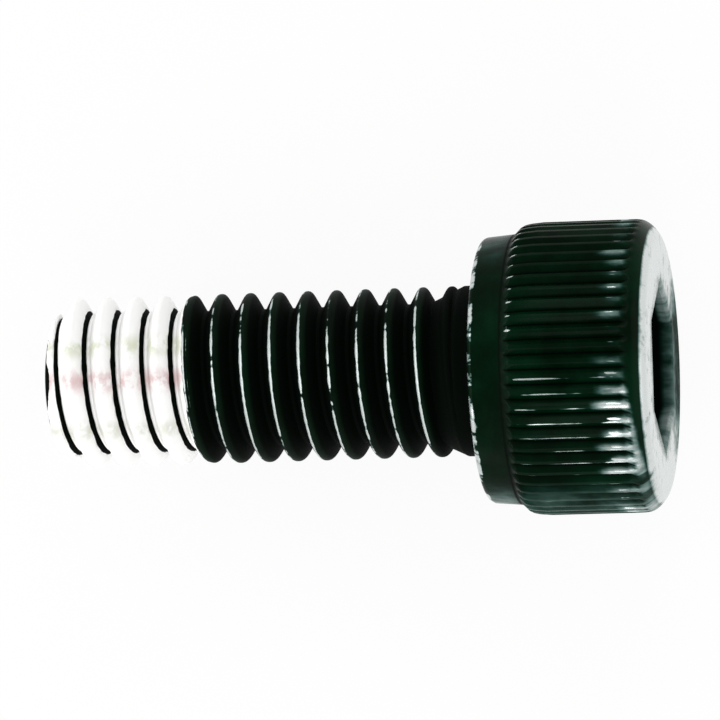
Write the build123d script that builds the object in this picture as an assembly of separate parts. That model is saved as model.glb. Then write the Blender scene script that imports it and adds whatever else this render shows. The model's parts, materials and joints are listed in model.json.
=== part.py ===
from build123d import *
from math import atan2, ceil, degrees, radians, sqrt, tan
import os

# A fully threaded socket head cap screw in black steel, with a straight knurl on its head.
# It is modelled upright, tip down, with the tip's end face at height zero, and is laid on its
# side at the end. Lengths are in millimetres and angles in degrees.

# Thread, on the metric profile of a bolt
thread_diameter = 5.9
thread_pitch = 1.0
thread_angle = 60.0
crest_flat_share = 1 / 8
root_flat_share = 1 / 4

# Shank
shank_length = 15.0
tip_diameter = 4.1
tip_angle = 90.0
# from the end of the tip's chamfer to the first full crest, on the side that the screw lies on
first_crest_offset = 0.7
# the last turns get shallower over this length and end in a plain neck that flares into the head
runout_length = 1.3
neck_length = 0.6
underhead_flare = 0.25

# Head: a bearing face, a slightly tapered smooth band, a shoulder up to the knurl, a chamfered rim
head_height = 6.0
bearing_diameter = 9.05
bearing_edge_chamfer = 0.2
band_diameter = 9.2
band_length = 1.1
shoulder_length = 0.5
rim_chamfer = 0.44

# Knurl
knurl_diameter = 9.95
knurl_depth = 0.2
knurl_angle = 90.0
knurl_count = 60

# Hexagon socket
socket_width = 5.0
socket_depth = 3.0
hexagon_sides = 6

# How far a cutting shape reaches past the surface that it opens
overrun = 0.05

# Worked out from the sizes above
full_turn = 360
crest_radius = thread_diameter / 2
crest_flat = thread_pitch * crest_flat_share
root_flat = thread_pitch * root_flat_share
flank_slope = tan(radians(thread_angle / 2))
thread_depth = (thread_pitch - crest_flat - root_flat) / 2 / flank_slope
root_radius = crest_radius - thread_depth
tip_radius = tip_diameter / 2
tip_chamfer_length = (crest_radius - tip_radius) / tan(radians(tip_angle / 2))
first_crest = tip_chamfer_length + first_crest_offset
runout_end = shank_length - neck_length
head_top = shank_length + head_height
band_top = shank_length + band_length
shoulder_top = band_top + shoulder_length
knurl_top = head_top - rim_chamfer
knurl_radius = knurl_diameter / 2
knurl_slope = tan(radians(knurl_angle / 2))


def outline(*points):
    """A closed shape in the plane through the axis, from points given as radius and height."""
    return make_face(Plane.XZ * Polyline(*points, close=True))


def thread_turn():
    """One turn of the groove between two crests, which starts on the underside."""
    half_mouth = (thread_pitch - crest_flat) / 2 + overrun * flank_slope
    section = outline(
        (crest_radius + overrun, -half_mouth),
        (crest_radius + overrun, half_mouth),
        (root_radius, root_flat / 2),
        (root_radius, -root_flat / 2),
    )
    return sweep(section, Helix(thread_pitch, thread_pitch, crest_radius), is_frenet=True)


def threaded_shank():
    """The shank below its neck, with the groove wound from below the tip to the neck."""
    blank = outline(
        (0, 0),
        (tip_radius, 0),
        (crest_radius, tip_chamfer_length),
        (crest_radius, runout_end),
        (0, runout_end),
    )
    below_tip = ceil(first_crest / thread_pitch) + 1
    turns = below_tip + ceil((runout_end - first_crest) / thread_pitch) + 1
    start = first_crest + thread_pitch / 2 - below_tip * thread_pitch
    one_turn = thread_turn()
    groove = [Pos(0, 0, start + turn * thread_pitch) * one_turn for turn in range(turns)]
    return revolve(blank, Axis.Z) - groove


def neck():
    """The cone that fills the groove towards the head, and the plain neck with its flare."""
    slope = thread_depth / runout_length
    inner_radius = root_radius - overrun
    inner_height = runout_end - runout_length - overrun / slope
    profile = outline(
        (0, inner_height),
        (inner_radius, inner_height),
        (crest_radius, runout_end),
        (crest_radius, shank_length - underhead_flare),
        (crest_radius + underhead_flare, shank_length),
        (0, shank_length),
    )
    return revolve(profile, Axis.Z)


def knurl_groove():
    """One V groove on the underside of the head, from the shoulder to the rim."""
    half_mouth = (knurl_depth + overrun) * knurl_slope
    outer_radius = knurl_radius + overrun
    corners = Polyline(
        (knurl_radius - knurl_depth, 0),
        (outer_radius, half_mouth),
        (outer_radius, -half_mouth),
        close=True,
    )
    section = Pos(0, 0, shoulder_top) * make_face(corners)
    return extrude(section, amount=knurl_top - shoulder_top)


def socket():
    """The hexagon hole, with corners towards both sides of the lying screw."""
    hexagon = RegularPolygon(
        socket_width / 2, hexagon_sides, major_radius=False, rotation=full_turn / 4
    )
    floor = Pos(0, 0, head_top - socket_depth) * hexagon
    return extrude(floor, amount=socket_depth + overrun)


def head():
    """The turned head with its two chamfered rims, its knurl and its socket."""
    bearing_radius = bearing_diameter / 2
    profile = outline(
        (0, shank_length),
        (bearing_radius - bearing_edge_chamfer, shank_length),
        (bearing_radius, shank_length + bearing_edge_chamfer),
        (band_diameter / 2, band_top),
        (knurl_radius, shoulder_top),
        (knurl_radius, knurl_top),
        (knurl_radius - rim_chamfer, head_top),
        (0, head_top),
    )
    groove = knurl_groove()
    spacing = full_turn / knurl_count
    grooves = [Rot(0, 0, place * spacing) * groove for place in range(knurl_count)]
    return revolve(profile, Axis.Z) - grooves - socket()


def laid_on_its_side(upright):
    """The screw as it comes to rest, on its first full crest and the lips of a knurl groove."""
    half_groove = knurl_depth * knurl_slope
    lip_radius = sqrt(knurl_radius**2 - half_groove**2)
    reach = shoulder_top - (first_crest - crest_flat / 2)
    tilt = degrees(atan2(lip_radius - crest_radius, reach))
    lying = Rot(0, full_turn / 4 - tilt, 0) * upright
    box = lying.bounding_box()
    return Pos(-box.center().X, -box.center().Y, -box.min.Z) * lying


screw = laid_on_its_side(threaded_shank() + neck() + head())
os.makedirs("parts", exist_ok=True)
export_step(screw, "parts/screw.step")
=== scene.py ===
import json
from math import cos, pi, radians, sin, tan, tau

import bmesh
import bpy
import numpy as np
from mathutils import Matrix, Vector


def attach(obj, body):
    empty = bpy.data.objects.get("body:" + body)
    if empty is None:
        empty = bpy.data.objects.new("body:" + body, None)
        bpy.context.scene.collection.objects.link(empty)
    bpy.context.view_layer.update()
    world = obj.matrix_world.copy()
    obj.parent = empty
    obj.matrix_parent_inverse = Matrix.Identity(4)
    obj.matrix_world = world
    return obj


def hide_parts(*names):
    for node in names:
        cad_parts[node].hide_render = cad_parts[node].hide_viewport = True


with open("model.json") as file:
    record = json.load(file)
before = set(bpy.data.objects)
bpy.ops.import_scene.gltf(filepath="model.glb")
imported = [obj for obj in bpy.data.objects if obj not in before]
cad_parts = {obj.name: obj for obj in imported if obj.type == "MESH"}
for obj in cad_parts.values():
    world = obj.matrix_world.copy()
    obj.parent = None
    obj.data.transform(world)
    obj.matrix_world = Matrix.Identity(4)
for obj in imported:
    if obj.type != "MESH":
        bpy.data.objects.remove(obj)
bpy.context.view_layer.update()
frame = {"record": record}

# Lengths are in millimetres until a piece is laid in its place. The screw is shaped upright, tip
# down: heights run from the tip's end face to the head, and angles start on the side it lies on.
MILLIMETRE = 0.001

# Thread
PITCH = 1.0
CREST_RADIUS = 2.905
ROOT_RADIUS = 2.34
CREST_FLAT = 0.21
FLANK_SLOPE = tan(radians(30))
FIRST_CREST = 1.6
CREST_ROUNDING = 0.2
CORNER_ROUNDING = 0.07
TIP_RADIUS = 2.05
TIP_BEVEL = 0.05
RUNOUT_START = 13.1
RUNOUT_END = 14.3
NECK_START = 14.4

# The sheet that is wound into the thread
TURN_COLUMNS = 160
TURN_ROWS = 28
SHEET_START = -1.0
THREAD_TURNS = 17.0
WELD_DISTANCE = 0.0002

# Locking coat on the first turns: the steel under it is set back, and its edges dip into the steel
COAT_INSET = 0.05
COAT_DIP = 0.08
COAT_FILL = 0.05
COAT_LUMPS = 0.012
COAT_LUMP_SCALE = 2.5
COAT_THICKNESS = 0.085
COAT_TURNS = 7.0
COAT_SEED = 3.0
THINNEST_COAT = 0.001

# Where the coat ends towards the head, in turns, and the share of a turn over which it steps back
COAT_END_TURN = 2.9
COAT_END_FADE = 0.08
COAT_END_STEP = (0.8, 1.0)
INSET_END = (0.04, 0.25)

# The bare line between two turns of the coat
BARE_LINE_TURN = 0.4
BARE_LINE_HALF_WIDTH = 0.05
BARE_LINE_FADE = 0.05

# Where the coat starts above the tip's end face, and a rub there on the side that faces up
COAT_START = (0.05, 0.12)
INSET_START = (0.0, 0.12)
TIP_RUB_SHARE = 0.5
TIP_RUB_HALF_WIDTH = 0.07
TIP_RUB_HEIGHT = 0.14

# How uneven the coat's edges are
RAGGED_SCALE = 1.6
RAGGED_EDGE = 0.2
RAGGED_LINE = 0.04
RAGGED_RADIUS = 3

# Head, with its outline as distance from the axis and height
SHANK_LENGTH = 15.0
HEAD_TOP = 21.0
HEAD_COLUMNS = 480
ROUND_STEPS = 6
END_FACE_RADII = (1.9, 1.2, 0.5)
FILLET_START = 14.68
FILLET_CENTRE = (3.25, 14.7)
FILLET_RADIUS = 0.3
FILLET_REACH = 3.4
BEARING_FACE = [(3.75, SHANK_LENGTH), (4.1, SHANK_LENGTH)]
BEARING_EDGE_CENTRE = (4.305, 15.22)
BEARING_EDGE_RADIUS = 0.22
BAND_OUTLINE = [(4.55, 15.5), (4.575, 15.8), (4.595, 16.05), (4.605, 16.12), (4.63, 16.17)]
SHOULDER_OUTLINE = [
    (4.7, 16.25), (4.78, 16.33), (4.85, 16.4), (4.885, 16.46), (4.91, 16.55), (4.93, 16.65),
    (4.945, 16.75), (4.955, 16.9),
]
RIM_OUTLINE = [
    (4.97, 20.3), (4.955, 20.42), (4.92, 20.52), (4.87, 20.61), (4.8, 20.7), (4.71, 20.79),
    (4.6, 20.88), (4.49, 20.945), (4.38, 20.985), (4.27, HEAD_TOP), (3.9, HEAD_TOP),
    (3.4, HEAD_TOP),
]

# Knurl
KNURL_COUNT = 60
KNURL_RADIUS = 4.974
KNURL_DEPTH = 0.2
KNURL_ROWS = 18
KNURL_FIRST_ROW = 17.1
KNURL_ROW_STEP = 0.18

# Hexagon socket, as half its width across flats and height
SOCKET_APOTHEM = 2.5
SOCKET_MOUTH = [(2.62, HEAD_TOP), (2.58, 20.985), (2.52, 20.93), (SOCKET_APOTHEM, 20.86)]
SOCKET_WALL_HEIGHTS = (20.7, 20.5, 20.2, 19.4, 18.6, 18.22)
SOCKET_FOOT = [(2.46, 18.14), (2.38, 18.1)]
SOCKET_FLOOR_RING = (1.3, 18.04)
SOCKET_FLOOR = 18.0


class Wire:
    """An output socket in a node tree. Arithmetic on it adds Math nodes to that tree."""

    def __init__(self, bench, socket):
        self.bench = bench
        self.socket = socket

    def also(self, name):
        """Another output of the same node."""
        return Wire(self.bench, self.socket.node.outputs[name])

    def __add__(self, other):
        return self.bench.math("ADD", self, other)

    def __sub__(self, other):
        return self.bench.math("SUBTRACT", self, other)

    def __rsub__(self, other):
        return self.bench.math("SUBTRACT", other, self)

    def __mul__(self, other):
        return self.bench.math("MULTIPLY", self, other)

    def __truediv__(self, other):
        return self.bench.math("DIVIDE", self, other)

    def __rtruediv__(self, other):
        return self.bench.math("DIVIDE", other, self)

    def __lt__(self, other):
        return self.bench.math("LESS_THAN", self, other)

    def __gt__(self, other):
        return self.bench.math("GREATER_THAN", self, other)

    __radd__ = __add__
    __rmul__ = __mul__


class Bench:
    """Where the nodes of one tree are put together."""

    def __init__(self, tree):
        self.tree = tree

    def add(self, kind, settings=None, sockets=None, output=0):
        """A new node with its settings, then the values or links of its sockets."""
        node = self.tree.nodes.new(kind)
        for name, value in (settings or {}).items():
            setattr(node, name, value)
        for name, value in (sockets or {}).items():
            if isinstance(value, Wire):
                self.tree.links.new(value.socket, node.inputs[name])
            else:
                node.inputs[name].default_value = value
        return Wire(self, node.outputs[output]) if node.outputs else None

    def math(self, operation, *values):
        return self.add("ShaderNodeMath", {"operation": operation}, dict(enumerate(values)))

    def ease(self, value, low, high):
        """0 up to low, 1 from high on, and smooth between them."""
        return self.add(
            "ShaderNodeMapRange",
            {"interpolation_type": "SMOOTHSTEP"},
            {"Value": value, "From Min": low, "From Max": high},
        )

    def noise(self, vector, scale, detail, roughness, seed):
        return self.add(
            "ShaderNodeTexNoise",
            {"noise_dimensions": "4D"},
            {"Vector": vector, "W": seed, "Scale": scale, "Detail": detail, "Roughness": roughness},
        )

    def place(self, x, y, z):
        return self.add("ShaderNodeCombineXYZ", {}, {0: x, 1: y, 2: z})

    def stored(self, name):
        """A value that the mesh keeps for each of its points."""
        return self.add("ShaderNodeAttribute", {"attribute_name": name}).also("Fac")

    def mix_colour(self, share, first, second):
        return self.add(
            "ShaderNodeMix", {"data_type": "RGBA"}, {0: share, 6: first, 7: second}, output=2
        )


# Trees that shape the thread and the knurl

SOCKET_KINDS = {
    bool: "NodeSocketBool",
    int: "NodeSocketInt",
    float: "NodeSocketFloat",
}


def shaping_tree(name, sizes):
    """A tree with a geometry input and named inputs for its sizes, and wires from all of them."""
    tree = bpy.data.node_groups.new(name, "GeometryNodeTree")
    tree.interface.new_socket("Geometry", in_out="INPUT", socket_type="NodeSocketGeometry")
    for label, value in sizes.items():
        kind = SOCKET_KINDS[type(value)]
        tree.interface.new_socket(label, in_out="INPUT", socket_type=kind).default_value = value
    tree.interface.new_socket("Material", in_out="INPUT", socket_type="NodeSocketMaterial")
    tree.interface.new_socket("Geometry", in_out="OUTPUT", socket_type="NodeSocketGeometry")
    bench = Bench(tree)
    given = bench.add("NodeGroupInput")
    wires = {label: given.also(label) for label in ["Geometry", *sizes, "Material"]}
    return bench, wires


def end_tree(bench, shape, wires):
    """Realize Instances and Set Material, then the tree's output."""
    plain = bench.add("GeometryNodeRealizeInstances", {}, {"Geometry": shape})
    painted = bench.add(
        "GeometryNodeSetMaterial", {}, {"Geometry": plain, "Material": wires["Material"]}
    )
    bench.add("NodeGroupOutput", {}, {"Geometry": painted})
    return bench.tree


def wound_thread_tree():
    """A sheet wound along the thread's helix, so that its rows follow the crests. It gives the
    steel's surface, or with Coat set only what the locking coat covers."""
    bench, size = shaping_tree(
        "wound_thread",
        {
            "Columns": TURN_COLUMNS,
            "Rows": TURN_ROWS,
            "Turns": THREAD_TURNS,
            "Start": SHEET_START,
            "Pitch": PITCH,
            "Crest Radius": CREST_RADIUS,
            "Root Radius": ROOT_RADIUS,
            "Crest Flat": CREST_FLAT,
            "Flank Slope": FLANK_SLOPE,
            "First Crest": FIRST_CREST,
            "Crest Rounding": CREST_ROUNDING,
            "Rounding": CORNER_ROUNDING,
            "Tip Radius": TIP_RADIUS,
            "Tip Bevel": TIP_BEVEL,
            "Run-out Start": RUNOUT_START,
            "Run-out End": RUNOUT_END,
            "Neck Start": NECK_START,
            "Coat End Turn": COAT_END_TURN,
            "Bare Line Turn": BARE_LINE_TURN,
            "Bare Line Half Width": BARE_LINE_HALF_WIDTH,
            "Inset": 0.0,
            "Dip": 0.0,
            "Fill": 0.0,
            "Lumps": 0.0,
            "Seed": COAT_SEED,
            "Coat": False,
        },
    )
    sheet = bench.add(
        "GeometryNodeMeshGrid",
        {},
        {
            "Size X": 1.0,
            "Size Y": size["Turns"],
            "Vertices X": size["Columns"] + 1,
            "Vertices Y": size["Turns"] * size["Rows"] + 1,
        },
    )
    flat = bench.add("ShaderNodeSeparateXYZ", {}, {0: bench.add("GeometryNodeInputPosition")})
    share = flat + 0.5
    turn = flat.also("Y") + size["Turns"] / 2
    rise = size["Start"] + (turn + share) * size["Pitch"]
    height = bench.math("MINIMUM", bench.math("MAXIMUM", rise, 0.0), size["Neck Start"])
    crest_turn = turn + (size["Start"] - size["First Crest"]) / size["Pitch"]

    # The profile between two crests, with rounded corners
    from_crest = bench.math("PINGPONG", crest_turn, 0.5) * size["Pitch"]
    flank = size["Crest Radius"] - (from_crest - size["Crest Flat"] / 2) / size["Flank Slope"]
    below_crest = bench.math("SMOOTH_MIN", flank, size["Crest Radius"], size["Crest Rounding"])
    thread = bench.math("SMOOTH_MAX", below_crest, size["Root Radius"], size["Rounding"])

    # The tip's chamfer with its broken edge, and the run-out into the neck
    near_end = bench.math("MAXIMUM", 1 - height / (size["Tip Bevel"] * 2), 0.0)
    chamfer = size["Tip Radius"] + height - near_end * near_end * size["Tip Bevel"]
    pointed = bench.math("SMOOTH_MIN", thread, chamfer, size["Rounding"])
    runout = (height - size["Run-out Start"]) / (size["Run-out End"] - size["Run-out Start"])
    shallower = size["Root Radius"] + runout * (size["Crest Radius"] - size["Root Radius"])
    shallower = bench.math("MINIMUM", shallower, size["Crest Radius"])
    nominal = bench.math("MAXIMUM", pointed, shallower)

    # Where the coat lies: not along the foot of the flanks that face the head, not at the very tip
    angle = share * tau
    cosine = bench.math("COSINE", angle)
    sine = bench.math("SINE", angle)
    upright = bench.place(cosine * RAGGED_RADIUS, sine * RAGGED_RADIUS, rise)
    ragged = bench.noise(upright, RAGGED_SCALE, 3.0, 0.6, size["Seed"]) - 0.5
    end_turn = size["Coat End Turn"] - bench.ease(share, *COAT_END_STEP)
    off_line = bench.math("PINGPONG", crest_turn - size["Bare Line Turn"], 0.5) * size["Pitch"]
    off_line = off_line + ragged * RAGGED_LINE
    line_edge = size["Bare Line Half Width"]
    coated = bench.ease(off_line, line_edge, line_edge + BARE_LINE_FADE)
    past_end = bench.ease(crest_turn + ragged * RAGGED_EDGE, end_turn - COAT_END_FADE, end_turn)
    coated = coated * (1 - past_end)
    off_rub = bench.math("ABSOLUTE", share - TIP_RUB_SHARE)
    tip_rub = (1 - bench.ease(off_rub, 0.0, TIP_RUB_HALF_WIDTH)) * TIP_RUB_HEIGHT
    coated = coated * bench.ease(height + ragged * RAGGED_EDGE - tip_rub, *COAT_START)

    # The steel is set back under the coat, and the film fills the roots a little and is lumpy
    inset_from, inset_to = INSET_END
    under = 1 - bench.ease(crest_turn, end_turn + inset_from, end_turn + inset_to)
    under = under * bench.ease(height - tip_rub, *INSET_START)
    steel = nominal - under * size["Inset"]
    lumps = bench.noise(upright, COAT_LUMP_SCALE, 4.0, 0.6, size["Seed"]) * size["Lumps"]
    filled = bench.math("SMOOTH_MAX", nominal, size["Root Radius"] + size["Fill"], size["Rounding"])
    film = (filled - lumps) * coated + (nominal - size["Dip"]) * (1 - coated)
    radius = steel * (1 - size["Coat"]) + film * size["Coat"]

    bare = size["Coat"] * (coated < THINNEST_COAT)
    kept = bench.add(
        "GeometryNodeDeleteGeometry", {"domain": "FACE"}, {"Geometry": sheet, "Selection": bare}
    )
    wound = bench.place(radius * cosine, radius * sine, height)
    placed = bench.add("GeometryNodeSetPosition", {}, {"Geometry": kept, "Position": wound})
    welded = bench.add(
        "GeometryNodeMergeByDistance", {}, {"Geometry": placed, "Distance": WELD_DISTANCE}
    )
    return end_tree(bench, welded, size)


def pressed_knurl_tree():
    """Presses straight V grooves into a turned head."""
    bench, size = shaping_tree(
        "pressed_knurl",
        {
            "Count": KNURL_COUNT,
            "Depth": KNURL_DEPTH,
            "Radius": KNURL_RADIUS,
            "Low": 16.2,
            "Low Fade": 0.3,
            "Inside": 4.3,
            "High": 20.5,
            "High Fade": 0.35,
            "Unevenness": 0.25,
            "Uneven Scale": 1.3,
            "Seed": 7.0,
        },
    )
    position = bench.add("GeometryNodeInputPosition")
    x = bench.add("ShaderNodeSeparateXYZ", {}, {0: position})
    y = x.also("Y")
    height = x.also("Z")
    angle = bench.math("ARCTAN2", y, x)
    spacing = tau / size["Count"]
    off_groove = bench.math("PINGPONG", angle / spacing, 0.5) * spacing * size["Radius"]
    mouth = bench.math("MAXIMUM", 1 - off_groove / size["Depth"], 0.0)
    low = bench.ease(height, size["Low"], size["Low"] + size["Low Fade"])
    high = 1 - bench.ease(height, size["High"] - size["High Fade"], size["High"])
    patchy = bench.noise(position, size["Uneven Scale"], 2.0, 0.5, size["Seed"]) - 0.5
    uneven = 1 + patchy * size["Unevenness"]
    outside = bench.math("SQRT", x * x + y * y) > size["Inside"]
    depth = mouth * low * high * uneven * outside * size["Depth"]
    shrink = 1 - depth / size["Radius"]
    pressed = bench.place(x * shrink, y * shrink, height)
    shape = bench.add(
        "GeometryNodeSetPosition", {}, {"Geometry": size["Geometry"], "Position": pressed}
    )
    return end_tree(bench, shape, size)


def finished_mesh(worked):
    """The plain mesh that an object's modifier makes. The object itself goes."""
    seen = worked.evaluated_get(bpy.context.evaluated_depsgraph_get())
    result = bpy.data.meshes.new_from_object(seen)
    bpy.data.objects.remove(worked)
    return result


def grown(mesh, tree, material, sizes):
    """The plain mesh that a tree makes, with its named inputs set before it is evaluated."""
    worked = bpy.data.objects.new(tree.name, mesh)
    bpy.context.scene.collection.objects.link(worked)
    modifier = worked.modifiers.new(tree.name, "NODES")
    modifier.node_group = tree
    for item in tree.interface.items_tree:
        if item.in_out == "INPUT" and item.name in sizes:
            modifier[item.identifier] = sizes[item.name]
        if item.in_out == "INPUT" and item.name == "Material":
            modifier[item.identifier] = material
    return finished_mesh(worked)


def thickened(mesh, thickness):
    """A sheet made into a closed shell that goes inwards from it."""
    worked = bpy.data.objects.new("sheet", mesh)
    bpy.context.scene.collection.objects.link(worked)
    wall = worked.modifiers.new("wall", "SOLIDIFY")
    wall.thickness = thickness
    wall.offset = -1.0
    return finished_mesh(worked)


# Turned shapes

# A little less than a full turn, so that a point just short of one counts as at its start
ALMOST_A_TURN = tau - 0.0001
SAME_HEIGHT = 0.001

# What tells the head's open ring from the fillet's
HEAD_RING_DISTANCE = 3.7
HEAD_RING_HEIGHT = 15.01


def circle(radius):
    return lambda angle: radius


def hexagon(apothem):
    """The distance from the axis to a hexagon with corners towards both sides."""
    return lambda angle: apothem / cos((angle + pi / 6) % (pi / 3) - pi / 6)


def turned(shape, profile, columns):
    """Rings of a turned shape joined by quads, and the rings' vertices."""
    rings = []
    for reach, height in profile:
        ring = []
        for column in range(columns):
            angle = tau * column / columns
            distance = reach(angle)
            ring.append(shape.verts.new((distance * cos(angle), distance * sin(angle), height)))
        rings.append(ring)
    for lower, upper in zip(rings, rings[1:]):
        join_rings(shape, lower, upper)
    return rings


def join_rings(shape, lower, upper):
    count = len(lower)
    for column in range(count):
        after = (column + 1) % count
        shape.faces.new((lower[column], lower[after], upper[after], upper[column]))


def close_ring(shape, ring, height):
    centre = shape.verts.new((0.0, 0.0, height))
    for column, corner in enumerate(ring):
        shape.faces.new((corner, ring[(column + 1) % len(ring)], centre))


def arc(centre, radius, start, end, steps):
    """Places on a rounded corner, as distance and height, with angles in degrees."""
    places = []
    for step in range(steps + 1):
        angle = radians(start + (end - start) * step / steps)
        places.append((centre[0] + radius * cos(angle), centre[1] + radius * sin(angle)))
    return places


def head_mesh():
    """The turned head from its bearing face to the floor of its socket, before it is knurled."""
    outline = BEARING_FACE + arc(BEARING_EDGE_CENTRE, BEARING_EDGE_RADIUS, -90, -5, ROUND_STEPS)
    outline += BAND_OUTLINE + SHOULDER_OUTLINE
    for row in range(KNURL_ROWS):
        outline.append((KNURL_RADIUS, KNURL_FIRST_ROW + KNURL_ROW_STEP * row))
    outline += RIM_OUTLINE
    wall = [(SOCKET_APOTHEM, height) for height in SOCKET_WALL_HEIGHTS]
    profile = [(circle(distance), height) for distance, height in outline]
    for apothem, height in SOCKET_MOUTH + wall + SOCKET_FOOT:
        profile.append((hexagon(apothem), height))
    floor_radius, floor_height = SOCKET_FLOOR_RING
    profile.append((circle(floor_radius), floor_height))
    shape = bmesh.new()
    rings = turned(shape, profile, HEAD_COLUMNS)
    close_ring(shape, rings[-1], SOCKET_FLOOR)
    mesh = bpy.data.meshes.new("head")
    shape.to_mesh(mesh)
    shape.free()
    return mesh


def by_angle(corner):
    return np.arctan2(corner.co.y, corner.co.x) % ALMOST_A_TURN


def ring_at(shape, height, count):
    """The open ring of vertices at a height, in order of angle."""
    ring = [v for v in shape.verts if v.is_boundary and abs(v.co.z - height) < SAME_HEIGHT]
    ring.sort(key=by_angle)
    if len(ring) != count:
        raise ValueError(f"the ring at {height} has {len(ring)} points, not {count}")
    return ring


def screw_mesh(thread, head):
    """The thread's surface with its end face, its neck and the head, as one closed shell."""
    shape = bmesh.new()
    shape.from_mesh(thread)
    tip_ring = ring_at(shape, 0.0, TURN_COLUMNS)
    neck_ring = ring_at(shape, NECK_START, TURN_COLUMNS)
    end_face = [(circle(distance), 0.0) for distance in END_FACE_RADII]
    rings = turned(shape, end_face, TURN_COLUMNS)
    join_rings(shape, tip_ring, rings[0])
    close_ring(shape, rings[-1], 0.0)
    fillet = [(CREST_RADIUS, FILLET_START)]
    fillet += arc(FILLET_CENTRE, FILLET_RADIUS, 180, 90, ROUND_STEPS)
    fillet += [(FILLET_REACH, SHANK_LENGTH)]
    rings = turned(shape, [(circle(distance), height) for distance, height in fillet], TURN_COLUMNS)
    join_rings(shape, neck_ring, rings[0])
    shape.from_mesh(head)
    open_rings = [v for v in shape.verts if v.is_boundary and v.co.z < HEAD_RING_HEIGHT]
    head_ring = [v for v in open_rings if v.co.xy.length > HEAD_RING_DISTANCE]
    head_ring.sort(key=by_angle)
    split = HEAD_COLUMNS // TURN_COLUMNS
    inner = rings[-1]
    for column in range(TURN_COLUMNS):
        after = (column + 1) % TURN_COLUMNS
        outer = [head_ring[(column * split + step) % HEAD_COLUMNS] for step in range(split + 1)]
        shape.faces.new([inner[column], *outer, inner[after]])
    bmesh.ops.recalc_face_normals(shape, faces=shape.faces)
    mesh = bpy.data.meshes.new("screw_body")
    shape.to_mesh(mesh)
    shape.free()
    return mesh


# Wear with painted highlights, rubs with painted sheen, and painted shade on the steel, as tables
# of places and amounts, and as starts and lengths of fades

# The parts of the head by height, and the reach of its outside and of its socket
BAND_START = 15.1
BAND_TOP = 16.15
SHOULDER_TOP = 16.6
KNURL_TOP = 20.6
HEAD_OUTSIDE = 4.3
SOCKET_REACH = 3.05

# Keeps lengths that are divided by from reaching nothing
NEAR_AXIS = 0.1
SHORTEST_EDGE_SQUARED = 0.0004

# How much of the edges' wear and painted highlight shows, by height on the screw
WEAR_AND_HIGHLIGHT_BY_HEIGHT = [
    (4.2, 0.0), (4.6, 0.8), (6.5, 1.0), (13.2, 1.0), (13.7, 0.0), (14.9, 0.0), (15.0, 2.0),
    (15.3, 2.0), (15.5, 1.0), (16.3, 1.0), (16.45, 1.0), (16.55, 0.4), (16.9, 0.5),
    (18.6, 0.5), (19.1, 0.36), (19.5, 0.4), (19.75, 0.9), (20.1, 0.9), (20.25, 0.0),
]

# How much of the wear and painted highlight on the thread, the knurl and its shoulder shows, across
# the lying screw, where the painted highlight follows the side the lamps fall on
THREAD_WEAR_AND_HIGHLIGHT_ACROSS = [(-3.0, 1.3), (-1.8, 1.8), (0.0, 2.2), (1.2, 2.0), (2.2, 1.2), (3.0, 0.9)]
KNURL_WEAR_AND_HIGHLIGHT_ACROSS = [(-4.0, 0.9), (-3.0, 1.4), (-0.4, 1.5), (0.4, 0.7), (4.0, 0.7)]
SHOULDER_WEAR_AND_HIGHLIGHT_ACROSS = [(-4.0, 0.8), (-2.0, 0.45), (0.5, 0.5), (1.5, 1.3), (4.0, 1.7)]

# The crests are worn and get a painted highlight on the flanks that face the tip lamp, and each
# ridge on its outer lip
TIP_FACING = 0.05
TIP_FACING_FADE = 0.3
LIP_LEAN = 0.3
LEAST_LIP_WEAR = 0.1
BOTH_LIPS_START = 19.7

# How sharp a hollow takes painted shade, and where painted shade lies thick on the shank, by height
# on the screw
SHADE_BEND = 0.17
SHADE_BY_HEIGHT = [
    (4.2, 1.0), (4.7, 0.0), (13.0, 0.0), (13.5, 1.0), (SHANK_LENGTH, 1.0), (15.01, 0.0),
]
SHANK_SHADE_REACH = 4.2
THREAD_SHADE_TOP = CREST_RADIUS + 0.1
THREAD_SHADE_FADE = 0.25
SOCKET_SHADE_TOP = 20.75
SOCKET_SHADE_FADE = 0.2

# Painted shade on the side of the rim that the screw lies on, by how far the place faces down
LOW_RIM_SHADE = 0.9
LOW_RIM_START = 0.55
LOW_RIM_FADE = 0.37
LOW_RIM_HEIGHT = 20.8

# The rubbed rim, and the socket's edge rubbed by a key, more towards its corners, both with painted
# sheen, which is stronger at the socket's upper corners
RIM_START = 20.84
RIM_FADE = 0.05
KEY_RUB = 0.16
LOWER_CORNER_RUB_AND_SHEEN = 0.08
UPPER_CORNER_RUB_AND_SHEEN = 0.2
KEY_CORNER_START = 1.3
KEY_CORNER_FADE = 0.5

# Painted sheen on the sides of the head, of which the upper one is towards the top of the picture
SIDE_FADE = 0.9
LOWER_SIDE_START = 3.5
UPPER_SIDE_START = 3.3
LOWER_BAND_SHEEN = 0.17
LOWER_KNURL_SHEEN = 0.1
UPPER_BAND_SHEEN = 0.1

# The rubbed ends of the knurl's ridges, each of which starts at its own height, with a painted
# highlight that changes across the lying screw
RIDGE_SEED = 11
KNURL_END_START = 19.45
KNURL_END_SPREAD = (-0.45, 0.35)
KNURL_END_STOP = [(-4.0, 20.9), (-1.0, 20.5), (0.0, 20.35)]
KNURL_END_FADE_IN = 0.5
KNURL_END_FADE_OUT = 0.15
KNURL_END_RUB_AND_SHEEN = 0.34
KNURL_END_STRENGTH = (0.2, 1.2)
RIDGE_TOP_START = 4.86
RIDGE_TOP_FADE = 0.1
RIDGE_TOPS_END = 20.35


def by_table(values, table):
    return np.interp(values, *zip(*table))


def rising(values, start, length):
    """0 up to the start, 1 from a length past it on."""
    return np.clip((values - start) / length, 0.0, 1.0)


def falling(values, end, length):
    """1 up to a length before the end, 0 from the end on."""
    return np.clip((end - values) / length, 0.0, 1.0)


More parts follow.
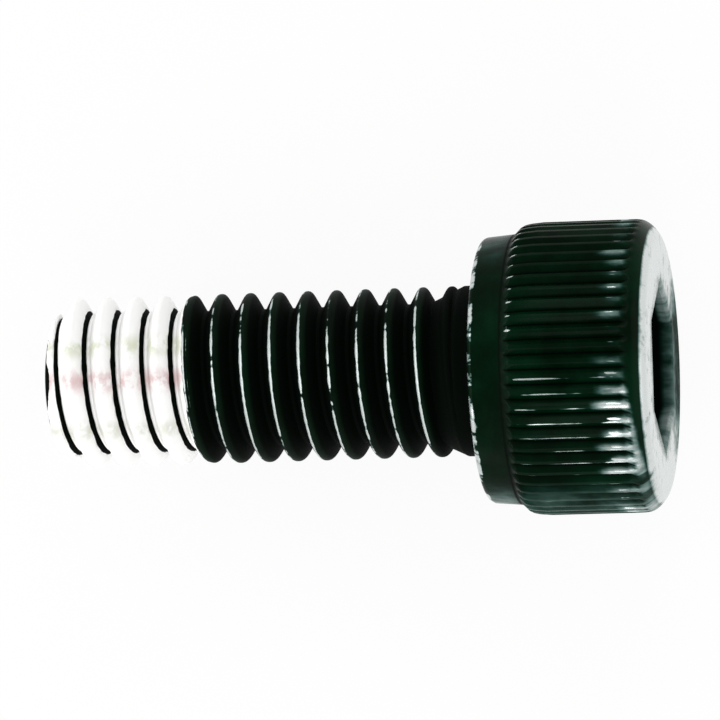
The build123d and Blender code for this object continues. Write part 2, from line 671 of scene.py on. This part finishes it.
class Skin:
    """The points of the screw's surface: where they lie, how they face and how they bend."""

    def __init__(self, mesh):
        places = np.empty(len(mesh.vertices) * 3, dtype=np.float32)
        mesh.vertices.foreach_get("co", places)
        places = places.reshape(-1, 3)
        normals = np.empty(len(mesh.vertices) * 3, dtype=np.float32)
        mesh.vertex_normals.foreach_get("vector", normals)
        normals = normals.reshape(-1, 3)
        self.down, self.across, self.height = places.T
        self.distance = np.hypot(self.down, self.across)
        self.from_axis = np.maximum(self.distance, NEAR_AXIS)
        self.facing_head = normals[:, 2]
        leaning = normals[:, 1] * self.down - normals[:, 0] * self.across
        self.leaning = leaning / self.from_axis
        self.bulge, hollow = bends(mesh, places, normals)
        self.hollow = hollow * SHADE_BEND
        self.on_thread = self.height < NECK_START
        self.in_socket = (self.distance < SOCKET_REACH) & (self.height > SHANK_LENGTH)
        # Painted shade on the side of the rim that faces down, and deeper down the socket
        low_side = rising(self.down / self.from_axis, LOW_RIM_START, LOW_RIM_FADE)
        self.low_rim = LOW_RIM_SHADE * low_side * (self.height > LOW_RIM_HEIGHT) * ~self.in_socket
        socket_depth = falling(self.height, SOCKET_SHADE_TOP, SOCKET_SHADE_FADE)
        self.deep_in_socket = socket_depth * self.in_socket


def bends(mesh, places, normals):
    """How sharply each point bulges and how sharply it is hollow, per millimetre."""
    ends = np.empty(len(mesh.edges) * 2, dtype=np.int32)
    mesh.edges.foreach_get("vertices", ends)
    first, second = ends.reshape(-1, 2).T
    along = places[first] - places[second]
    along /= (along * along).sum(axis=1, keepdims=True) + SHORTEST_EDGE_SQUARED
    at_first = 2 * (along * normals[first]).sum(axis=1)
    at_second = -2 * (along * normals[second]).sum(axis=1)
    bent = np.concatenate([at_first, at_second])
    corners = np.concatenate([first, second])
    bulge = np.zeros(len(mesh.vertices))
    hollow = np.zeros(len(mesh.vertices))
    np.maximum.at(bulge, corners, bent)
    np.maximum.at(hollow, corners, -bent)
    return bulge, hollow


def edge_wear_and_highlight(skin):
    """How sharply each point bulges, weighed by how worn its part of the screw is and by a painted
    highlight on the flanks and sides that face the lamps.
    """
    outer_lip = 0.5 - skin.leaning * np.sign(skin.across) / LIP_LEAN
    outer_lip = np.clip(outer_lip, LEAST_LIP_WEAR, 1.0)
    outer_lip = np.where(skin.height > BOTH_LIPS_START, 1.0, outer_lip)
    on_knurl = by_table(skin.across, KNURL_WEAR_AND_HIGHLIGHT_ACROSS) * outer_lip
    on_shoulder = by_table(skin.across, SHOULDER_WEAR_AND_HIGHLIGHT_ACROSS) * outer_lip
    below_knurl = np.where(skin.height > BAND_TOP, on_shoulder, 1.0)
    on_head = np.where(skin.height > SHOULDER_TOP, on_knurl, below_knurl)
    # Painted highlight: the crests' wear is kept to the flanks that face the tip lamp and weighed
    # across the lying screw
    towards_tip = falling(skin.facing_head, TIP_FACING, TIP_FACING_FADE)
    on_crest = by_table(skin.across, THREAD_WEAR_AND_HIGHLIGHT_ACROSS) * towards_tip
    worn = skin.bulge * np.where(skin.on_thread, on_crest, on_head)
    return worn * (by_table(skin.height, WEAR_AND_HIGHLIGHT_BY_HEIGHT) * ~skin.in_socket)


def painted_shade_amount(skin):
    """How much painted shade each point takes: in hollows, in the thread, the socket and the low
    rim.
    """
    in_thread = falling(skin.distance, THREAD_SHADE_TOP, THREAD_SHADE_FADE)
    deep = np.where(skin.on_thread, in_thread, skin.deep_in_socket)
    on_shank = by_table(skin.height, SHADE_BY_HEIGHT) * (skin.distance < SHANK_SHADE_REACH)
    painted_shade = np.maximum.reduce([skin.hollow, deep, on_shank, skin.low_rim])
    return np.clip(painted_shade, 0.0, 1.0)


def knurl_end_rub_and_sheen(skin):
    """The rub and painted highlight on the ends of the knurl's ridges, which is a little different
    on each ridge.
    """
    ridge = np.floor(np.arctan2(skin.across, skin.down) / tau * KNURL_COUNT).astype(int)
    ridge = ridge % KNURL_COUNT
    draws = np.random.default_rng(RIDGE_SEED)
    start = KNURL_END_START + draws.uniform(*KNURL_END_SPREAD, KNURL_COUNT)[ridge]
    stop = by_table(skin.across, KNURL_END_STOP)
    ridge_top = rising(skin.distance, RIDGE_TOP_START, RIDGE_TOP_FADE)
    ridge_top = np.where(skin.height > RIDGE_TOPS_END, 1.0, ridge_top)
    rub = rising(skin.height, start, KNURL_END_FADE_IN) * ridge_top
    rub *= falling(skin.height, stop, KNURL_END_FADE_OUT)
    rub *= KNURL_END_RUB_AND_SHEEN * draws.uniform(*KNURL_END_STRENGTH, KNURL_COUNT)[ridge]
    return rub * by_table(skin.across, KNURL_WEAR_AND_HIGHLIGHT_ACROSS)


def rubs_and_sheen(skin):
    """How far the oxide is rubbed off the rim, the socket's edge and the outside of the head, with
    painted sheen on the sides that face the lamps.
    """
    rim = rising(skin.height, RIM_START, RIM_FADE) * (1 - skin.low_rim)
    # The key's rub is stronger at the upper corners, as painted sheen
    corner_rub_and_sheen = np.where(skin.across > 0, UPPER_CORNER_RUB_AND_SHEEN, LOWER_CORNER_RUB_AND_SHEEN)
    key_rub_and_sheen = KEY_RUB + corner_rub_and_sheen * rising(np.abs(skin.across), KEY_CORNER_START, KEY_CORNER_FADE)
    top = np.where(skin.in_socket, key_rub_and_sheen * (1 - skin.deep_in_socket), rim)
    on_band = (skin.height > BAND_START) & (skin.height < BAND_TOP)
    on_side = (skin.height > BAND_START) & (skin.height < KNURL_TOP)
    # Painted sheen on the lower and upper sides of the head
    lower_side = rising(-skin.across, LOWER_SIDE_START, SIDE_FADE) * on_side
    lower_side = lower_side * np.where(on_band, LOWER_BAND_SHEEN, LOWER_KNURL_SHEEN)
    upper_side = rising(skin.across, UPPER_SIDE_START, SIDE_FADE) * on_band * UPPER_BAND_SHEEN
    on_outside = np.clip(1 - 2 * skin.hollow, 0.0, 1.0) * (skin.distance > HEAD_OUTSIDE)
    outside = np.maximum(np.maximum(lower_side, upper_side), knurl_end_rub_and_sheen(skin))
    return np.maximum(top, outside * on_outside)


def mark_wear(mesh):
    """Stores the edges' wear with painted highlights, the painted shade and the rubs with painted
    sheen for each point, for the steel's finish.
    """
    skin = Skin(mesh)
    marks = {"bulge": edge_wear_and_highlight(skin), "painted_shade": painted_shade_amount(skin), "rub_and_sheen": rubs_and_sheen(skin)}
    for name, values in marks.items():
        layer = mesh.attributes.new(name, "FLOAT", "POINT")
        layer.data.foreach_set("value", values.astype(np.float32))


# Finishes, with colours as red, green, blue and alpha

DARK_OXIDE = (0.0004, 0.005, 0.0015, 1.0)
LIGHT_OXIDE = (0.0006, 0.013, 0.0045, 1.0)
SHADED_OXIDE = (0.0003, 0.0015, 0.0006, 1.0)
THIN_OXIDE_AND_SHEEN = (0.02, 0.08, 0.065, 1.0)
BARE_STEEL = (0.62, 0.66, 0.65, 1.0)
PATCH_SCALE = 420.0
STREAK_SCALE = 2000.0
STREAK_STRETCH = (0.3, 1.0, 1.0)
STEEL_GRAIN_SCALE = 5200.0
STEEL_ROUGHNESS = 0.25
STEEL_GLOSS_INDEX = 1.1

# How far patches and streaks break up the worn edges and the rubs, with their painted highlights
EDGE_PATCHES = 2.4
EDGE_STREAKS = 4
RUB_AND_SHEEN_PATCHES = 2
RUB_AND_SHEEN_STREAKS = 3

# Between which amounts the edges wear and take painted highlights, the oxide varies, thins to a
# painted teal sheen and gives way to bare steel
WORN_BULGE = (4.5, 9.0)
EDGE_RUB_AND_HIGHLIGHT = 0.7
OXIDE_PATCHES = (0.35, 0.65)
THIN_FROM = (0.0, 0.3)
BARE_FROM = (0.05, 0.9)
BARE_METAL = 0.9

COAT_WHITE = (0.88, 0.88, 0.87, 1.0)
COAT_ROUGHNESS = 0.62
REFLECTION_BAND_SCALE = 1500.0
REFLECTION_BAND_EDGE = (0.4, 0.6)
COAT_GRAIN_SCALE = 6000.0

# Faint painted reflections on the coat, in bands along it: where across the screw, how wide, and
# their colour
COAT_REFLECTION_BANDS = [
    (0.05, 0.6, (0.66, 0.5, 0.5, 1.0)),
    (1.2, 0.55, (0.64, 0.67, 0.54, 1.0)),
    (-1.65, 0.5, (0.66, 0.67, 0.6, 1.0)),
]

FLOOR_PAINT = (0.8, 0.8, 0.8, 1.0)
PLAIN_WHITE = (1.0, 1.0, 1.0, 1.0)
FLOOR_GLOW = 0.92


def finish_bench(name):
    """A new material without any nodes, and its bench."""
    material = bpy.data.materials.new(name)
    material.use_nodes = True
    material.node_tree.nodes.clear()
    return material, Bench(material.node_tree)


def surface_on(bench, sockets):
    """A Principled shader on the material's output."""
    shader = bench.add("ShaderNodeBsdfPrincipled", {}, sockets)
    bench.add("ShaderNodeOutputMaterial", {}, {"Surface": shader})


def black_oxide_steel():
    """Near-black oiled steel with a cold green cast, rubbed brighter on its edges, with painted
    highlights and sheen where the lamps fall and painted shade in hollows, down the thread and
    socket and on the low rim.
    """
    material, bench = finish_bench("black_oxide_steel")
    place = bench.add("ShaderNodeTexCoord").also("Object")
    bulge = bench.stored("bulge")
    rim = bench.stored("rub_and_sheen")
    painted_shade = bench.stored("painted_shade")
    patches = bench.noise(place, PATCH_SCALE, 4.0, 0.6, 1.0)
    along = bench.add("ShaderNodeMapping", {}, {"Vector": place, "Scale": STREAK_STRETCH})
    streaks = bench.noise(along, STREAK_SCALE, 3.0, 0.6, 6.0)
    grain = bench.noise(place, STEEL_GRAIN_SCALE, 3.0, 0.6, 2.0)
    broken_edge = 1 + (patches - 0.5) * EDGE_PATCHES + (streaks - 0.5) * EDGE_STREAKS
    broken_rub_and_sheen = 1 + (patches - 0.5) * RUB_AND_SHEEN_PATCHES + (streaks - 0.5) * RUB_AND_SHEEN_STREAKS
    # Worn edges and rubs, with their painted highlights and sheen, thin the oxide to teal and then
    # bare the steel
    worn_and_highlit_edge = bench.ease(bulge * broken_edge, *WORN_BULGE) * EDGE_RUB_AND_HIGHLIGHT
    rubbed_and_sheen = bench.math("MAXIMUM", worn_and_highlit_edge, rim * broken_rub_and_sheen)
    bare = bench.ease(rubbed_and_sheen, *BARE_FROM)
    oxide = bench.mix_colour(bench.ease(patches, *OXIDE_PATCHES), DARK_OXIDE, LIGHT_OXIDE)
    # Painted shade: darker, rougher oxide in hollows, down the thread and socket, on the neck and
    # on the low rim
    oxide = bench.mix_colour(painted_shade, oxide, SHADED_OXIDE)
    thinned_and_sheen = bench.mix_colour(bench.ease(rubbed_and_sheen, *THIN_FROM), oxide, THIN_OXIDE_AND_SHEEN)
    roughness = STEEL_ROUGHNESS + (grain - 0.5) * 0.1 + (patches - 0.5) * 0.14 + painted_shade * 0.5
    bump = bench.add(
        "ShaderNodeBump", {}, {"Strength": 0.12, "Distance": 0.00002, "Height": grain}
    )
    surface_on(
        bench,
        {
            "Base Color": bench.mix_colour(bare, thinned_and_sheen, BARE_STEEL),
            "Metallic": bare * BARE_METAL,
            "Roughness": roughness,
            "IOR": STEEL_GLOSS_INDEX,
            "Normal": bump,
        },
    )
    return material


def chalky_coat():
    """A matt white film with faint pink and green painted reflections in bands along it."""
    material, bench = finish_bench("chalky_locking_coat")
    place = bench.add("ShaderNodeTexCoord").also("Object")
    across = bench.add("ShaderNodeSeparateXYZ", {}, {0: place}).also("Y")
    reflection_noise = bench.noise(place, REFLECTION_BAND_SCALE, 4.0, 0.65, 5.0)
    grain = bench.noise(place, COAT_GRAIN_SCALE, 4.0, 0.65, 4.0)
    # Painted reflections: faint pink and green bands along the coat at set places across the lying
    # screw
    colour = COAT_WHITE
    for middle, half_width, tint in COAT_REFLECTION_BANDS:
        off_middle = bench.math("ABSOLUTE", across - middle * MILLIMETRE)
        in_reflection_band = 1 - bench.ease(off_middle, 0.0, half_width * MILLIMETRE)
        colour = bench.mix_colour(in_reflection_band * bench.ease(reflection_noise, *REFLECTION_BAND_EDGE), colour, tint)
    bump = bench.add(
        "ShaderNodeBump", {}, {"Strength": 0.35, "Distance": 0.00003, "Height": grain}
    )
    surface_on(
        bench,
        {
            "Base Color": colour,
            "Roughness": COAT_ROUGHNESS + (grain - 0.5) * 0.2,
            "Normal": bump,
        },
    )
    return material


def white_floor():
    """A plain white floor that shows white to the camera and keeps a soft shadow."""
    material, bench = finish_bench("white_floor")
    rays = bench.add("ShaderNodeLightPath")
    seen = bench.math("MAXIMUM", rays.also("Is Camera Ray"), rays.also("Is Glossy Ray"))
    seen = bench.math("MAXIMUM", seen, rays.also("Is Transmission Ray"))
    paint = bench.add("ShaderNodeBsdfDiffuse", {}, {"Color": FLOOR_PAINT})
    glow = bench.add("ShaderNodeEmission", {}, {"Color": PLAIN_WHITE, "Strength": 1.0})
    both = bench.add("ShaderNodeMixShader", {}, {0: seen * FLOOR_GLOW, 1: paint, 2: glow})
    bench.add("ShaderNodeOutputMaterial", {}, {"Surface": both})
    return material


# Pieces

SHARP_EDGE = radians(34)


def laid_in_place():
    """From the upright screw in millimetres to its place in the frame."""
    mounts = {mount["name"]: mount for mount in frame["record"]["mounts"]}
    to_head = Vector(mounts["hex_socket"]["axis"]).normalized()
    tip = Vector(mounts["hex_socket"]["pos_m"]) - to_head * HEAD_TOP * MILLIMETRE
    sideways = Vector((0.0, 1.0, 0.0))
    underside = sideways.cross(to_head)
    turn = Matrix((underside, sideways, to_head)).transposed().to_4x4()
    return Matrix.Translation(tip) @ turn @ Matrix.Scale(MILLIMETRE, 4)


def piece(name, mesh, material):
    """A piece in its place in the frame and finish."""
    mesh.name = name
    mesh.materials.clear()
    mesh.materials.append(material)
    mesh.transform(laid_in_place())
    made = bpy.data.objects.new(name, mesh)
    bpy.context.scene.collection.objects.link(made)
    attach(made, "root")
    return made


def smooth(mesh):
    for polygon in mesh.polygons:
        polygon.use_smooth = True


def build_screw():
    steel = black_oxide_steel()
    coat_finish = chalky_coat()
    wound_thread = wound_thread_tree()
    sheet = bpy.data.meshes.new("sheet")
    thread = grown(sheet, wound_thread, steel, {"Inset": COAT_INSET})
    head = grown(head_mesh(), pressed_knurl_tree(), steel, {})
    body = screw_mesh(thread, head)
    mark_wear(body)
    smooth(body)
    body.set_sharp_from_angle(angle=SHARP_EDGE)
    screw_body = piece("screw_body", body, steel)
    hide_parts("screw")
    coat_sizes = {
        "Turns": COAT_TURNS,
        "Dip": COAT_DIP,
        "Fill": COAT_FILL,
        "Lumps": COAT_LUMPS,
        "Coat": True,
    }
    coat = thickened(grown(sheet, wound_thread, coat_finish, coat_sizes), COAT_THICKNESS)
    smooth(coat)
    piece("locking_coat", coat, coat_finish)


# Floor, light and camera, in metres and watts

FLOOR_HALF_WIDTH = 1.5
LIGHTS_AIM = (0.0, 0.0, 0.004)

# Name, place, width, height and power of each soft box
SOFT_BOXES = [
    ("tip_light", (-0.12, 0.0, 0.05), 0.14, 0.04, 0.07),
    ("head_light", (0.2, 0.0, 0.08), 0.3, 0.12, 0.12),
    ("side_light", (0.0, -0.12, 0.12), 0.1, 0.1, 0.085),
    ("far_light", (0.0, 0.15, 0.12), 0.1, 0.1, 0.09),
    ("low_light", (0.0, -0.2, 0.03), 0.3, 0.05, 0.08),
]

# The sky is dimmer overhead
SKY_DIMMING = 0.4
SKY_DIMMING_HEIGHTS = (0.1, 0.7)

# Camera, with its place and target in millimetres
CAMERA_EYE = (10.3332, 0.4933, 212.7849)
CAMERA_TARGET = (-0.0421, 0.4933, 5.0)
UP_IN_PICTURE = (0.03142, 0.99951, 0.0)
SENSOR_WIDTH = 36.0
LENS_LENGTH = 305.994
CAMERA_CLIP_START = 0.01


def build_floor():
    shape = bmesh.new()
    bmesh.ops.create_grid(shape, x_segments=1, y_segments=1, size=FLOOR_HALF_WIDTH)
    mesh = bpy.data.meshes.new("floor")
    shape.to_mesh(mesh)
    shape.free()
    mesh.materials.append(white_floor())
    floor = bpy.data.objects.new("floor", mesh)
    bpy.context.scene.collection.objects.link(floor)


def build_light():
    world = bpy.data.worlds.new("studio")
    bpy.context.scene.world = world
    world.use_nodes = True
    world.node_tree.nodes.clear()
    bench = Bench(world.node_tree)
    towards = bench.add("ShaderNodeTexCoord").also("Generated")
    height = bench.add("ShaderNodeSeparateXYZ", {}, {0: towards}).also("Z")
    bright = 1 - SKY_DIMMING * bench.ease(height, *SKY_DIMMING_HEIGHTS)
    sky = bench.add("ShaderNodeBackground", {}, {"Color": PLAIN_WHITE, "Strength": bright})
    bench.add("ShaderNodeOutputWorld", {}, {"Surface": sky})
    for soft_box in SOFT_BOXES:
        build_soft_box(*soft_box)


def build_soft_box(name, place, width, height, watts):
    """A soft box that faces the screw."""
    lamp = bpy.data.lights.new(name, "AREA")
    lamp.shape = "RECTANGLE"
    lamp.size = width
    lamp.size_y = height
    lamp.energy = watts
    holder = bpy.data.objects.new(name, lamp)
    holder.location = place
    holder.rotation_mode = "QUATERNION"
    aim = Vector(LIGHTS_AIM) - Vector(place)
    holder.rotation_quaternion = aim.to_track_quat("-Z", "Y")
    bpy.context.scene.collection.objects.link(holder)


def build_camera():
    eye = Vector(CAMERA_EYE) * MILLIMETRE
    target = Vector(CAMERA_TARGET) * MILLIMETRE
    forward = (target - eye).normalized()
    right = forward.cross(Vector(UP_IN_PICTURE)).normalized()
    up = right.cross(forward)
    lens = bpy.data.cameras.new("camera")
    lens.sensor_width = SENSOR_WIDTH
    lens.lens = LENS_LENGTH
    lens.clip_start = CAMERA_CLIP_START
    camera = bpy.data.objects.new("camera", lens)
    turn = Matrix((right, up, -forward)).transposed().to_4x4()
    camera.matrix_world = Matrix.Translation(eye) @ turn
    bpy.context.scene.collection.objects.link(camera)
    bpy.context.scene.camera = camera


build_screw()
build_floor()
build_light()
build_camera()
bpy.context.scene.view_settings.view_transform = "Standard"
